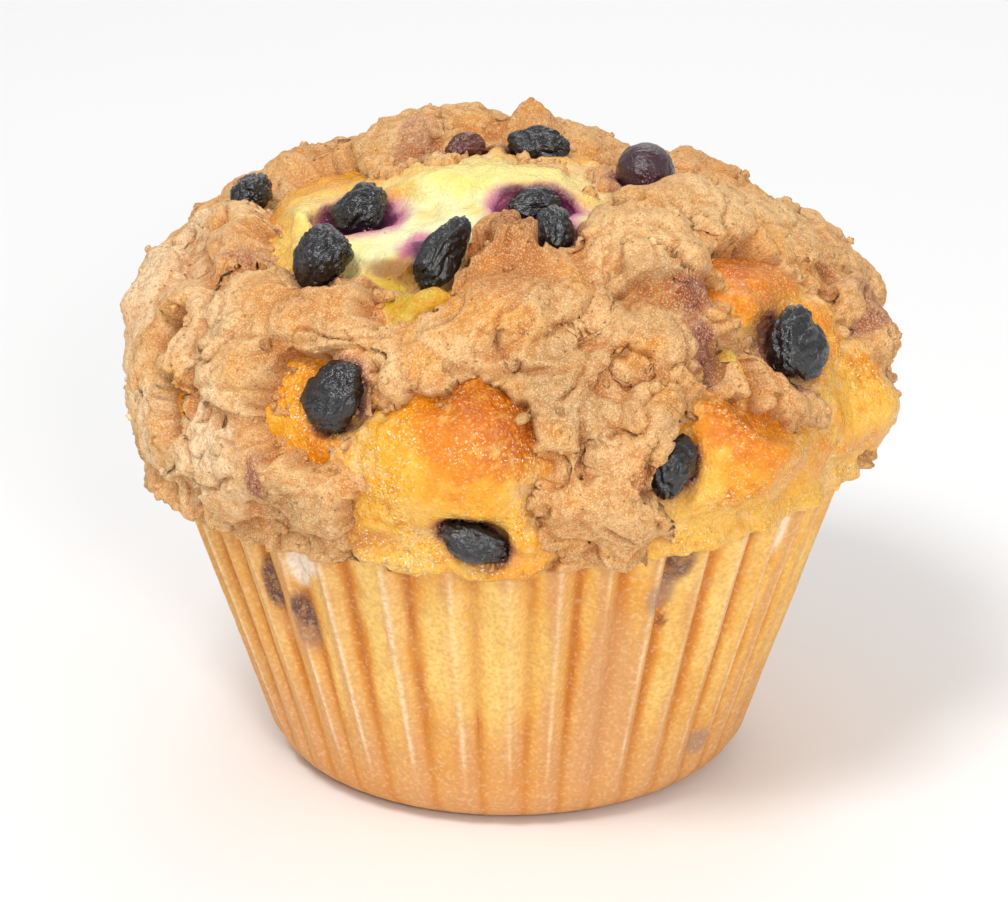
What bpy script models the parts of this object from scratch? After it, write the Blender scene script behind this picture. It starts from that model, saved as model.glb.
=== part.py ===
"""A blueberry muffin with a crumble topping, standing in its pleated paper case.

The cake is one star-shaped solid: every point of its skin is a direction from a
heart inside the cap and a distance along it. Lumps of crumble and blueberries sit
in hollows of that skin. Azimuth 0 faces -Y, the front, and grows towards +X; tilt
is the angle from straight up. Lengths are in millimetres until a mesh is made.
"""

import math
from collections import namedtuple

import bmesh
import bpy
import numpy as np
from mathutils import Matrix, Vector, noise

MM = 0.001

# Driving dimensions
BASE_RADIUS = 28.0  # paper case, where the line of its wall meets the table
WALL_LEAN = 0.345  # how far the wall leans out for each millimetre of height
CASE_HEIGHT = 36.4
CORNER_RADIUS = 7.5  # round between the case's wall and its flat base
PAPER = 0.35
CAP_RADIUS = 45.5
CAP_WIDEST_Z = 49.0
CAP_TOP_Z = 73.6
LIP_RADIUS = 40.4  # lower edge of the cap, where it hangs over the case
LIP_Z = 38.6
UNDERCUT = 1.3  # how far the lip's underside reaches in before it turns down
LIP_WAVE = 0.9  # the lip rises at the front and back and falls at the sides by this
HEART_Z = 42.0

LIP_TILT = 94.0  # where the lip's wave is highest, and how far it reaches, in degrees
LIP_REACH = 14.0
HIGH_SIDE = 78.0  # azimuth where the cap has risen clear of a taller stretch of the case
LIP_RISE = 5.6  # how much higher the lip is there, in degrees of tilt
CASE_RISE = 4.0

# Pleats of the case
PLEATS = 40
PLEAT_DEPTH_TOP = 1.7
PLEAT_DEPTH_FOOT = 0.25
PLEAT_PHASES = (0.0, 0.22, 0.5, 0.78)  # a crease, two flanks and the ridge between
WALL_RINGS = 3
CORNER_RINGS = 3

# Fit between the pieces
CLEARANCE = 1.0
SOCKET_CLEARANCE = 0.55
CRUMBLE_CLEARANCE = 0.8

CRACK = 0.15  # share of a lobe's size that is left open between two lumps

# Grain of the meshes
SKIN_SUBDIVISIONS = 7  # directions in which the cake's skin is shaped, about 0.8 mm apart
CAKE_KEPT = 0.052  # share of the triangles that is left after thinning
CRUMBLE_KEPT = 0.070
BERRY_SUBDIVISIONS = 4
BERRY_KEPT = 0.098

# An ellipse on the cap: half its length down the dome, half its width across it,
# its turn, and how far it stands out
Lobe = namedtuple("Lobe", "azimuth tilt length width height turn", defaults=(0,))

# Where the dough swells out between the lumps of crumble
BULGES = (
    Lobe(-7, 75, 11.0, 12.5, 3.4),
    Lobe(3, 87, 6.0, 7.0, 1.4),
    Lobe(35, 79, 8.6, 11.5, 4.8),
    Lobe(46, 57, 5.0, 6.0, 2.6),
    Lobe(58, 55, 5.6, 8.0, 2.8),
    Lobe(69, 62, 6.4, 5.4, 1.6),
    Lobe(72, 73, 7.0, 6.0, 2.0),
    Lobe(72, 82, 6.4, 9.0, 3.6),
    Lobe(-65, 42, 10.0, 9.0, 1.6),
    Lobe(-30, 71, 8.0, 4.0, 0.8),
    Lobe(-22, 50, 5.0, 4.6, 1.8),
    Lobe(-12, 11, 7.0, 13.0, 1.6),
    Lobe(34, 24, 7.0, 8.0, 0.8),
    Lobe(-96, 86, 7.0, 9.0, 0.4),
    Lobe(-118, 74, 9.0, 9.0, 1.8),
    Lobe(-155, 84, 9.0, 11.0, 3.0),
    Lobe(164, 73, 7.0, 9.0, 2.0),
    Lobe(128, 86, 9.0, 11.0, 3.2),
)

# Where the whole cap, crumble and all, has sunk by the height given
SUNKEN = (
    Lobe(128, 42, 17.0, 16.0, 3.0),
    Lobe(-112, 42, 9.0, 8.0, 2.0),
)

# The lumps of crumble, each made of lobes that have baked together
CRUMBLE = {
    "crumble_peak": (
        Lobe(0, 39.5, 6.4, 6.8, 9.2),
        Lobe(-1, 53, 5.2, 6.6, 5.0),
        Lobe(-12, 59, 4.6, 6.6, 3.4),
        Lobe(-17, 65.5, 3.2, 5.2, 2.4),
        Lobe(10, 53.5, 6.6, 4.2, 3.6),
        Lobe(12.5, 46, 4.6, 3.6, 3.4),
    ),
    "crumble_middle": (
        Lobe(7.6, 65, 3.8, 5.8, 2.8),
        Lobe(8, 72.5, 4.8, 4.2, 2.0),
        Lobe(14.7, 62.5, 4.2, 3.6, 2.6),
        Lobe(12, 58.5, 3.6, 4.0, 2.4),
        Lobe(12.5, 70, 4.4, 3.4, 2.0),
    ),
    "crumble_block": (
        Lobe(32, 45, 7.6, 8.2, 6.6),
        Lobe(25, 38.5, 5.0, 4.2, 4.8),
        Lobe(26, 58.5, 5.4, 6.4, 4.2),
        Lobe(36.5, 60, 6.2, 4.0, 3.4),
    ),
    "crumble_right_top": (
        Lobe(67, 40, 8.0, 7.2, 3.6),
        Lobe(81, 48, 9.0, 8.8, 2.6),
        Lobe(98, 51, 7.0, 7.4, 1.8),
        Lobe(85, 58, 7.0, 8.6, 1.6),
        Lobe(50, 36, 5.2, 5.4, 3.6),
    ),
    "crumble_front_right": (
        Lobe(20, 69.5, 5.4, 6.8, 4.8),
        Lobe(18.5, 77, 5.6, 5.4, 4.6),
        Lobe(16, 85, 6.0, 5.0, 4.4),
        Lobe(8.8, 82, 5.4, 4.2, 3.6),
        Lobe(16.8, 91, 2.8, 3.2, 3.2),
    ),
    "crumble_right_face": (
        Lobe(42, 68.5, 4.6, 5.8, 2.2),
        Lobe(44, 74, 3.0, 5.6, 2.0),
        Lobe(37, 64.5, 3.6, 3.4, 1.8),
    ),
    "crumble_right_edge": (
        Lobe(79, 65, 5.0, 6.0, 2.4),
        Lobe(79, 73, 4.8, 4.8, 2.6),
    ),
    "crumble_left_middle": (
        Lobe(-50, 59.5, 6.2, 7.2, 4.6),
        Lobe(-34, 58.5, 5.8, 6.8, 4.2),
        Lobe(-29, 52.5, 4.0, 4.6, 2.8),
        Lobe(-46, 69, 6.2, 5.6, 4.6),
        Lobe(-38.5, 72, 4.4, 5.6, 3.6),
        Lobe(-25, 61.5, 3.4, 4.2, 2.6),
    ),
    "crumble_left_low": (
        Lobe(-37, 80.5, 5.0, 8.0, 3.6),
        Lobe(-28, 85, 4.4, 5.8, 3.0),
        Lobe(-48, 80, 4.6, 5.6, 2.4),
        Lobe(-22, 87, 3.0, 4.2, 2.0),
        Lobe(-45, 87, 3.6, 5.8, 2.0),
    ),
    "crumble_left_edge": (
        Lobe(-86, 66, 8.0, 9.0, 3.2),
        Lobe(-66, 64.5, 6.6, 6.6, 3.6),
        Lobe(-58, 72, 7.2, 3.4, 3.4),
        Lobe(-72, 73, 7.0, 7.0, 2.0),
        Lobe(-60, 80, 4.6, 5.2, 1.8),
        Lobe(-76, 83, 4.6, 6.4, 0.9),
        Lobe(-64, 87, 3.6, 5.4, 1.2),
    ),
    "crumble_left_top": (
        Lobe(-70, 53, 5.6, 6.6, 2.8),
        Lobe(-93, 55, 5.4, 6.4, 3.2),
        Lobe(-82, 54, 4.6, 5.0, 2.4),
    ),
    "crumble_rear_left": (
        Lobe(-133, 36, 5.6, 6.2, 1.6),
        Lobe(-149, 34.5, 6.0, 6.6, 4.4),
        Lobe(-165, 34, 4.6, 4.6, 4.6),
        Lobe(-141, 45, 5.2, 6.0, 2.6),
    ),
    "crumble_rear_right": (
        Lobe(171, 29, 4.2, 4.0, 6.4),
        Lobe(157, 35, 5.4, 6.8, 2.4),
        Lobe(146, 43, 5.0, 6.4, 2.2),
    ),
    "crumble_back_high": (
        Lobe(179, 54, 8.0, 9.4, 4.6),
        Lobe(166, 60, 5.0, 6.4, 3.8),
        Lobe(-168, 66, 6.6, 7.2, 3.6),
        Lobe(-174, 44, 5.0, 6.4, 3.0),
        Lobe(163, 49, 4.6, 5.4, 2.8),
        Lobe(173, 67, 5.0, 5.4, 2.8),
    ),
    "crumble_back_left": (
        Lobe(-141, 58, 7.2, 8.2, 4.2),
        Lobe(-128, 64, 5.8, 6.8, 3.6),
        Lobe(-136, 76, 6.8, 6.0, 3.2),
        Lobe(-127, 54, 5.4, 6.4, 2.8),
        Lobe(-149, 82, 4.6, 6.0, 2.6),
        Lobe(-125, 74, 5.4, 5.4, 2.6),
    ),
    "crumble_back_right": (
        Lobe(141, 60, 7.0, 8.0, 4.2),
        Lobe(148, 76, 6.6, 6.6, 3.6),
        Lobe(132, 71, 6.0, 6.0, 3.2),
        Lobe(127, 58, 5.4, 6.4, 2.4),
        Lobe(140, 81, 4.6, 5.4, 2.6),
    ),
    "crumble_back_low": (
        Lobe(176, 82, 6.4, 8.4, 3.4),
        Lobe(163, 87, 4.0, 5.6, 2.6),
        Lobe(-169, 77, 4.6, 5.4, 2.8),
    ),
    "crumble_side_right": (
        Lobe(109, 67, 7.0, 7.4, 1.8),
        Lobe(113, 77, 6.0, 6.6, 2.4),
        Lobe(99, 63, 5.4, 6.0, 1.8),
        Lobe(120, 69, 5.6, 5.4, 2.4),
        Lobe(104, 72, 4.6, 5.4, 2.0),
    ),
    "crumble_side_left": (
        Lobe(-108, 68, 7.0, 7.0, 2.6),
        Lobe(-101, 79, 6.4, 6.8, 1.3),
        Lobe(-109, 84, 4.4, 5.8, 2.0),
        Lobe(-117, 63, 5.4, 5.8, 2.6),
        Lobe(-95, 71, 5.0, 5.0, 2.0),
    ),
}

# A blueberry: its full sizes down the dome, across it and through it, how far its
# centre stands above the skin, and its turn
Berry = namedtuple("Berry", "azimuth tilt length width depth lift turn", defaults=(0,))
BERRIES = {
    "blueberry_rear_left": Berry(-106, 52, 6.0, 7.0, 5.0, 1.6),
    "blueberry_upper_left": Berry(-65, 33.5, 7.6, 7.2, 5.4, 0.6),
    "blueberry_left": Berry(-47.5, 47.5, 8.0, 7.8, 6.4, 1.6),
    "blueberry_long": Berry(-20, 39.5, 10.8, 5.4, 5.0, 0.9, 14),
    "blueberry_top": Berry(16, 19.5, 4.6, 6.8, 4.6, 0.1),
    "blueberry_beside_peak": Berry(17.5, 31, 6.8, 5.0, 4.8, 0.8),
    "blueberry_back_of_top": Berry(160, 17.5, 5.4, 8.4, 4.8, 0.9),
    "blueberry_round": Berry(88, 27.5, 7.6, 7.6, 7.4, 1.9),
    "blueberry_front_left": Berry(-27.6, 69, 9.4, 7.4, 5.8, 1.2, 16),
    "blueberry_right": Berry(52.5, 66.5, 8.6, 9.8, 6.4, 1.4, -24),
    "blueberry_under_crumble": Berry(23.6, 78.4, 8.2, 6.0, 5.2, 0.9, 18),
    "blueberry_lip": Berry(-5.2, 88.4, 5.2, 8.2, 5.0, 0.6, 18),
    "blueberry_dark_top": Berry(-153, 20, 4.6, 6.0, 4.2, 0.5),
    "blueberry_back_left": Berry(-152, 71, 7.4, 7.6, 5.6, 1.2, 30),
    "blueberry_back": Berry(160, 73, 8.4, 7.0, 5.6, 1.2, -15),
    "blueberry_back_right": Berry(130, 84, 7.0, 8.2, 5.6, 1.4),
}

# Base colour, roughness and metallic value of each material
MATERIALS = {
    "cake": ((0.80, 0.50, 0.17, 1.0), 0.45, 0.0),
    "crumble": ((0.72, 0.47, 0.26, 1.0), 0.90, 0.0),
    "blueberry": ((0.020, 0.020, 0.030, 1.0), 0.35, 0.0),
    "paper": ((0.86, 0.60, 0.30, 1.0), 0.60, 0.0),
}


def material(name):
    colour, roughness, metallic = MATERIALS[name]
    made = bpy.data.materials.new(name)
    made.use_nodes = True
    shader = made.node_tree.nodes["Principled BSDF"]
    shader.inputs["Base Color"].default_value = colour
    shader.inputs["Roughness"].default_value = roughness
    shader.inputs["Metallic"].default_value = metallic
    return made


def noise_at(points, size, amount, seed):
    """Smooth noise at each point, with features of about that size."""
    shift = Vector((seed * 17.3, seed * 5.1, seed * 9.7))
    return amount * np.array([noise.noise(Vector(p) / size + shift) for p in points])


def directions_at(azimuth, tilt):
    """Unit vectors towards these azimuths and tilts, in degrees."""
    azimuth, tilt = np.radians(azimuth), np.radians(tilt)
    return np.stack(
        [
            np.sin(tilt) * np.sin(azimuth),
            -np.sin(tilt) * np.cos(azimuth),
            np.cos(tilt),
        ],
        axis=-1,
    )


def local_axes(azimuth, tilt, turn):
    """Unit vectors along an ellipse's length, across it and outwards."""
    outwards = directions_at(azimuth, tilt)
    down = directions_at(azimuth, tilt + 90)
    across = np.cross(down, outwards)
    angle = math.radians(turn)
    length_axis = down * math.cos(angle) + across * math.sin(angle)
    return length_axis, np.cross(length_axis, outwards), outwards


def high_side(azimuth):
    """1 at the azimuth where lip and case are highest, fading to 0 a quarter turn away."""
    return np.clip(np.cos(np.radians(azimuth - HIGH_SIDE)), 0, 1) ** 2


def case_outline():
    """Points (radius, height) of the case's outside at a ridge, from the flat base's edge up."""
    lean = math.atan(WALL_LEAN)
    cut_back = CORNER_RADIUS * math.tan((math.pi / 2 - lean) / 2)
    centre = (BASE_RADIUS - cut_back, CORNER_RADIUS)
    points = []
    for step in range(CORNER_RINGS + 1):
        angle = (math.pi / 2 - lean) * step / CORNER_RINGS
        points.append(
            (
                centre[0] + CORNER_RADIUS * math.sin(angle),
                centre[1] - CORNER_RADIUS * math.cos(angle),
            )
        )
    foot = points[-1][1]
    for step in range(1, WALL_RINGS):
        height = foot + (CASE_HEIGHT - foot) * step / (WALL_RINGS - 1)
        points.append((BASE_RADIUS + WALL_LEAN * height, height))
    return points


def pleat_depth(height):
    """How far the creases lie behind the ridges at this height."""
    share = min(1.0, height / CASE_HEIGHT)
    return PLEAT_DEPTH_FOOT + (PLEAT_DEPTH_TOP - PLEAT_DEPTH_FOOT) * share


def moved_inwards(point, distance):
    """A point of the case's outline, moved towards the cake by this distance."""
    radius, height = point
    rise = max(0.0, 1.0 - height / CORNER_RADIUS) * distance
    return radius - distance, height + rise


def cake_outline():
    """Points (radius, height) of the plain cake, from its top down to its foot."""
    points = []
    cap_rise = CAP_TOP_Z - CAP_WIDEST_Z
    for angle in np.linspace(0, math.pi / 2, 40):
        points.append(
            (CAP_RADIUS * math.sin(angle), CAP_WIDEST_Z + cap_rise * math.cos(angle))
        )
    for share in np.linspace(0.05, 1, 20):
        fullness = math.sqrt(1 - share**2.4)
        points.append(
            (
                LIP_RADIUS + (CAP_RADIUS - LIP_RADIUS) * fullness,
                CAP_WIDEST_Z + (LIP_Z - CAP_WIDEST_Z) * share,
            )
        )
    for ridge in reversed(case_outline()):
        inwards = pleat_depth(ridge[1]) + PAPER + CLEARANCE
        points.append(moved_inwards(ridge, inwards))
    rim_radius = points[-(WALL_RINGS + CORNER_RINGS)][0]
    points.insert(
        len(points) - (WALL_RINGS + CORNER_RINGS),
        (rim_radius + UNDERCUT, CASE_HEIGHT + CLEARANCE + 0.2),
    )
    points[-1] = (points[-1][0], PAPER + CLEARANCE)
    foot_radius, foot_z = points[-1]
    for share in np.linspace(0.9, 0, 12):
        points.append((foot_radius * share, foot_z))
    return np.array(points)


def level_tilt(tilt, azimuth):
    """The tilt that a spot near the lip would have if the lip ran level round the cake."""
    near_lip = np.clip(1 - np.abs(tilt - LIP_TILT) / LIP_REACH, 0, 1)
    wave = LIP_WAVE * (1 + np.cos(np.radians(2 * azimuth)))
    return tilt + (wave + LIP_RISE * high_side(azimuth)) * near_lip


def plain_distance(tilt, azimuth=-90.0):
    """Distance from the heart to the plain cake's skin, at tilts and azimuths in degrees."""
    tilt = level_tilt(tilt, azimuth)
    outline = cake_outline()
    radius, rise = outline[:, 0], outline[:, 1] - HEART_Z
    tilts = np.degrees(np.arctan2(radius, rise))
    return np.interp(tilt, tilts, np.hypot(radius, rise))


def ellipse_share(directions, lobe):
    """0 at the middle of a lobe and 1 on its edge, for each direction."""
    along, across, outwards = local_axes(lobe.azimuth, lobe.tilt, lobe.turn)
    distance = float(plain_distance(lobe.tilt))
    cosine = np.clip(directions @ outwards, -1, 1)
    angle = np.arccos(cosine)
    stretch = np.where(angle > 1e-6, angle / np.maximum(np.sin(angle), 1e-6), 1.0)
    x = (directions @ along) * stretch * distance / lobe.length
    y = (directions @ across) * stretch * distance / lobe.width
    return np.hypot(x, y) + np.where(cosine < 0, 9.0, 0.0)


def rim_fade(tilt, azimuth):
    """1 on the cap, falling to 0 where it meets the paper case."""
    return np.clip((97.5 - level_tilt(tilt, azimuth)) / 5.0, 0, 1)


class Skin:
    """The directions that shape the cap, and what lies along each of them."""

    def __init__(self, directions):
        self.directions = directions
        self.tilt = np.degrees(np.arccos(np.clip(directions[:, 2], -1, 1)))
        azimuth = np.degrees(np.arctan2(directions[:, 0], -directions[:, 1]))
        self.plain = plain_distance(self.tilt, azimuth)
        for hollow in SUNKEN:
            self.plain -= hollow.height * cushion(ellipse_share(directions, hollow))
        self.spots = directions * self.plain[:, None]
        self.fade = rim_fade(self.tilt, azimuth)
        self.lump_of, self.crumble_height = self.crumble()
        self.berry_floor = self.berry_sockets()
        self.lump_of[self.berry_floor < 1e8] = -1
        self.cake = self.cake_distance()

    def crumble(self):
        """For each direction the number of its lump, or -1, and the lump's height."""
        wobble = noise_at(self.spots, 4.5, 0.22, 1) + noise_at(self.spots, 1.9, 0.10, 2)
        nearest = np.full(len(self.tilt), 9.0)
        second = nearest.copy()
        lump_of = np.full(len(self.tilt), -1)
        height = np.zeros(len(self.tilt))
        for number, lobes in enumerate(CRUMBLE.values()):
            share = np.full(len(self.tilt), 9.0)
            rise = np.zeros(len(self.tilt))
            for lobe in lobes:
                of_lobe = ellipse_share(self.directions, lobe)
                share = np.minimum(share, of_lobe)
                rise = np.maximum(rise, lobe.height * lobe_profile(of_lobe, lobe))
            closer = share < nearest
            second = np.where(closer, nearest, np.minimum(second, share))
            nearest = np.where(closer, share, nearest)
            height = np.where(closer, rise, height)
            lump_of = np.where(closer, number, lump_of)
        cracked = second - nearest < CRACK
        lump_of[(nearest + wobble > 1.0) | (self.fade < 0.4) | cracked] = -1
        crack = np.clip((second - nearest) / 0.35, 0, 1)
        knobs = 1 + noise_at(self.spots, 3.4, 0.45, 3) + noise_at(self.spots, 1.7, 0.25, 4)
        height = (height * (0.45 + 0.55 * crack) * knobs).clip(0.5) * self.fade + 0.7
        self.pressed = np.clip((1.3 - nearest) / 0.42, 0, 1)
        return lump_of, height

    def berry_sockets(self):
        """Distance to the underside of the blueberry along each direction, or 1e9."""
        floor = np.full(len(self.tilt), 1e9)
        for berry in BERRIES.values():
            centre, axes = berry_place(berry)
            sizes = np.array([berry.length, berry.width, berry.depth]) / 2
            sizes = sizes + SOCKET_CLEARANCE
            ray = (self.directions @ axes.T) / sizes
            start = -(axes @ centre) / sizes
            a, b, c = (ray**2).sum(1), ray @ start, start @ start - 1
            inside = b * b - a * c
            entry = (-b - np.sqrt(np.maximum(inside, 0))) / a
            floor = np.where((inside > 0) & (entry > 0), np.minimum(floor, entry), floor)
        return floor

    def cake_distance(self):
        """Distance from the heart to the cake's skin, with bulges, hollows and sockets."""
        swell = np.zeros(len(self.tilt))
        for bulge in BULGES:
            share = ellipse_share(self.directions, bulge)
            swell = np.maximum(swell, bulge.height * cushion(share))
        waves = noise_at(self.spots, 9.0, 1.1, 5) + noise_at(self.spots, 4.0, 0.5, 6)
        shaped = (swell + waves) * (1 - self.pressed) - 0.9 * self.pressed
        cake = self.plain + shaped * self.fade
        return np.minimum(cake, self.berry_floor)


def cushion(share):
    """A soft swelling: 1 at the middle of a lobe, fading to 0 at its edge."""
    return np.clip(1 - share**2, 0, 1) ** 1.3


def lobe_profile(share, lobe):
    """Height over a lobe: a cone for the tall peaks, a steep-sided cushion for the rest."""
    inside = np.clip(1 - share, 0, 1)
    if lobe.height > 6.0 and lobe.length < 7.0:
        return inside**0.75
    return np.sqrt(np.clip(1 - share**2.6, 0, 1))


def berry_place(berry):
    """A blueberry's centre from the heart, and its axes as rows."""
    axes = np.array(local_axes(berry.azimuth, berry.tilt, berry.turn))
    distance = float(plain_distance(berry.tilt)) + berry.lift
    return axes[2] * distance, axes


def object_of(name, mesh, surface, parts):
    made = bpy.data.objects.new(name, mesh)
    mesh.materials.append(surface)
    mesh.shade_smooth()
    mesh.set_sharp_from_angle(angle=math.radians(50))
    parts.objects.link(made)
    return made


def thin_out(obj, kept):
    """Keeps this share of the triangles, most of them where the surface bends."""
    modifier = obj.modifiers.new("thin out", "DECIMATE")
    modifier.ratio = kept


def skin_sphere():
    """A unit sphere of even triangles, as a bmesh and its directions."""
    ball = bmesh.new()
    bmesh.ops.create_icosphere(ball, subdivisions=SKIN_SUBDIVISIONS, radius=1.0)
    ball.verts.ensure_lookup_table()
    return ball, np.array([v.co.normalized()[:] for v in ball.verts])


def place(vertices, directions, distances):
    """Sets each vertex at its distance from the heart, in metres."""
    for vertex, direction, distance in zip(vertices, directions, distances):
        x, y, z = direction * distance
        vertex.co = Vector((x, y, z + HEART_Z)) * MM


def make_cake(skin, surface, parts):
    ball, directions = skin_sphere()
    place(ball.verts, directions, skin.cake)
    mesh = bpy.data.meshes.new("cake")
    ball.to_mesh(mesh)
    ball.free()
    thin_out(object_of("cake", mesh, surface, parts), CAKE_KEPT)


def make_lump(name, number, skin, surface, parts):
    """One lump of crumble: a shell whose underside follows the cake, closed at its edge."""
    lump, directions = skin_sphere()
    spot = lump.verts.layers.int.new("spot")
    for i, vertex in enumerate(lump.verts):
        vertex[spot] = i
    outer = skin.cake + CRUMBLE_CLEARANCE + skin.crumble_height
    place(lump.verts, directions, outer)
    strays = [v for v in lump.verts if skin.lump_of[v[spot]] != number]
    bmesh.ops.delete(lump, geom=strays, context="VERTS")
    keep_largest_patch(lump)
    under = list(lump.verts)
    bmesh.ops.extrude_face_region(lump, geom=list(lump.faces))
    for vertex in under:
        x, y, z = directions[vertex[spot]] * (skin.cake[vertex[spot]] + CRUMBLE_CLEARANCE)
        vertex.co = Vector((x, y, z + HEART_Z)) * MM
    bmesh.ops.recalc_face_normals(lump, faces=list(lump.faces))
    mesh = bpy.data.meshes.new(name)
    lump.to_mesh(mesh)
    lump.free()
    thin_out(object_of(name, mesh, surface, parts), CRUMBLE_KEPT)


def keep_largest_patch(lump):
    """Drops scraps of faces that hang on the main patch by a corner, or not at all."""
    loose = set(lump.faces)
    patches = []
    while loose:
        front = [loose.pop()]
        patch = set(front)
        while front:
            for edge in front.pop().edges:
                for face in edge.link_faces:
                    if face in loose:
                        loose.remove(face)
                        patch.add(face)
                        front.append(face)
        patches.append(patch)
    largest = max(patches, key=len)
    scraps = [face for face in lump.faces if face not in largest]
    bmesh.ops.delete(lump, geom=scraps, context="FACES")


def make_berry(name, number, berry, surface, parts):
    """A blueberry that has shrunk and wrinkled in the oven."""
    ball = bmesh.new()
    bmesh.ops.create_icosphere(ball, subdivisions=BERRY_SUBDIVISIONS, radius=1.0)
    sizes = Vector((berry.length, berry.width, berry.depth)) / 2
    for vertex in ball.verts:
        point = vertex.co.copy()
        dent = noise.noise(point * 1.6 + Vector((number * 3.7, 0, 0)))
        wrinkle = abs(noise.noise(Vector((point.x * 1.5, point.y * 4, point.z * 4 + number))))
        point *= 0.98 + 0.10 * dent - 0.10 * wrinkle
        vertex.co = Vector([p * s for p, s in zip(point, sizes)]) * MM
    centre, axes = berry_place(berry)
    mesh = bpy.data.meshes.new(name)
    ball.to_mesh(mesh)
    ball.free()
    made = object_of(name, mesh, surface, parts)
    turned = Matrix([list(axis) for axis in axes]).transposed().to_4x4()
    made.matrix_world = Matrix.Translation(Vector(centre + (0, 0, HEART_Z)) * MM) @ turned
    thin_out(made, BERRY_KEPT)


def pleat_azimuth(step):
    """Azimuth in radians of a point this many pleats round the case. Pleats vary in width."""
    even = 2 * math.pi * step / PLEATS
    return even + 0.050 * math.sin(3 * even + 1.0) + 0.022 * math.sin(7 * even + 2.0)


def crease(phase):
    """1 in the crease between two pleats, 0 on the ridge, where phase is 0.5."""
    return (1 - math.sin(math.pi * phase)) ** 1.2


def case_ring(shell, radius, height, depth):
    """One ring of vertices round the case."""
    ring = []
    for pleat in range(PLEATS):
        for phase in PLEAT_PHASES:
            angle = pleat_azimuth(pleat + phase)
            rise = CASE_RISE * high_side(math.degrees(angle)) * (height / CASE_HEIGHT) ** 2
            reach = radius + WALL_LEAN * rise - depth * crease(phase)
            x, y = reach * math.sin(angle), -reach * math.cos(angle)
            ring.append(shell.verts.new(Vector((x, y, height + rise)) * MM))
    return ring


def join_rings(shell, below, above):
    count = len(below)
    for i in range(count):
        j = (i + 1) % count
        shell.faces.new((below[i], below[j], above[j], above[i]))


def make_case(surface, parts):
    """The paper case: a pleated cup lofted ring by ring, outside and inside, with a flat base."""
    shell = bmesh.new()
    outline = case_outline()
    outside, inside = [], []
    for ridge in outline:
        radius, height = ridge
        depth = pleat_depth(height) * min(1.0, height / CORNER_RADIUS)
        outside.append(case_ring(shell, radius, height, depth))
        inner_radius, inner_height = moved_inwards(ridge, PAPER)
        if ridge == outline[-1]:
            inner_height = height
        inside.append(case_ring(shell, inner_radius, inner_height, depth))
    for rings in (outside, inside):
        for below, above in zip(rings, rings[1:]):
            join_rings(shell, below, above)
        middle = sum((v.co for v in rings[0]), Vector()) / len(rings[0])
        hub = shell.verts.new((0, 0, middle.z))
        for i, vertex in enumerate(rings[0]):
            shell.faces.new((vertex, hub, rings[0][(i + 1) % len(rings[0])]))
    join_rings(shell, outside[-1], inside[-1])
    bmesh.ops.recalc_face_normals(shell, faces=list(shell.faces))
    mesh = bpy.data.meshes.new("paper_case")
    shell.to_mesh(mesh)
    shell.free()
    object_of("paper_case", mesh, surface, parts)


def main():
    for old in list(bpy.data.objects):
        bpy.data.objects.remove(old)
    parts = bpy.data.collections.new("muffin")
    bpy.context.scene.collection.children.link(parts)
    surfaces = {name: material(name) for name in MATERIALS}
    ball, directions = skin_sphere()
    ball.free()
    skin = Skin(directions)
    make_cake(skin, surfaces["cake"], parts)
    for number, name in enumerate(CRUMBLE):
        make_lump(name, number, skin, surfaces["crumble"], parts)
    for number, (name, berry) in enumerate(BERRIES.items()):
        make_berry(name, number, berry, surfaces["blueberry"], parts)
    make_case(surfaces["paper"], parts)


main()
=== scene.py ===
"""The looks of a blueberry muffin with a crumble topping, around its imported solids.

The crust, the crumble and the berries are finer copies of the solids: fused into even
meshes, pushed in and out by noise, and painted point by point. The paper case is
pleated afresh. Azimuth 0 faces -Y, the front, and grows towards +X; tilt is the angle
from straight up, both seen from a heart inside the cap.
"""

import math
from collections import namedtuple

import bmesh
import bpy
import numpy as np
from mathutils import Matrix, Vector
from mathutils.bvhtree import BVHTree


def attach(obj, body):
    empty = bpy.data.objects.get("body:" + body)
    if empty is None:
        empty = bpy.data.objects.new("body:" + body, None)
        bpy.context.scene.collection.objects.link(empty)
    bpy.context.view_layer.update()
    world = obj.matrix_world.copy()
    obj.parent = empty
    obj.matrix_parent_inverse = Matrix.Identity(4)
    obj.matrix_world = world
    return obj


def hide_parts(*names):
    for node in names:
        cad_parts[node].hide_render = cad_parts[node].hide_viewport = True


MM = 0.001
HEART = np.array((0.0, 0.0, 42.0)) * MM

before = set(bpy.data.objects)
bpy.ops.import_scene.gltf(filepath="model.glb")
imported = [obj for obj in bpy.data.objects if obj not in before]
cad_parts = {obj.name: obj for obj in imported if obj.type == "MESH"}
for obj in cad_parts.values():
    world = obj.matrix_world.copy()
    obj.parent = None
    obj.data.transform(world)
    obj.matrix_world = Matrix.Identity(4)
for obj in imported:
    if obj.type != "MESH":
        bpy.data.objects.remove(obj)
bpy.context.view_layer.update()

DETAIL = 1.0  # coarser meshes while trying things
CRUST_VOXEL = 0.60 * MM * DETAIL
CRUMBLE_VOXEL = 0.50 * MM * DETAIL
GRAINS = 900
BERRY_ROUNDS = 5  # subdivisions of the ball that a berry starts from
FAR = 9.0  # more than any distance or share that matters

# Camera, set to the photograph's view
AIM = Vector((-0.6, 0, 37.6)) * MM
CAMERA_DISTANCE = 0.6
CAMERA_RISE = math.radians(20.5)
LENS = 175.7
SENSOR = 36

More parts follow.
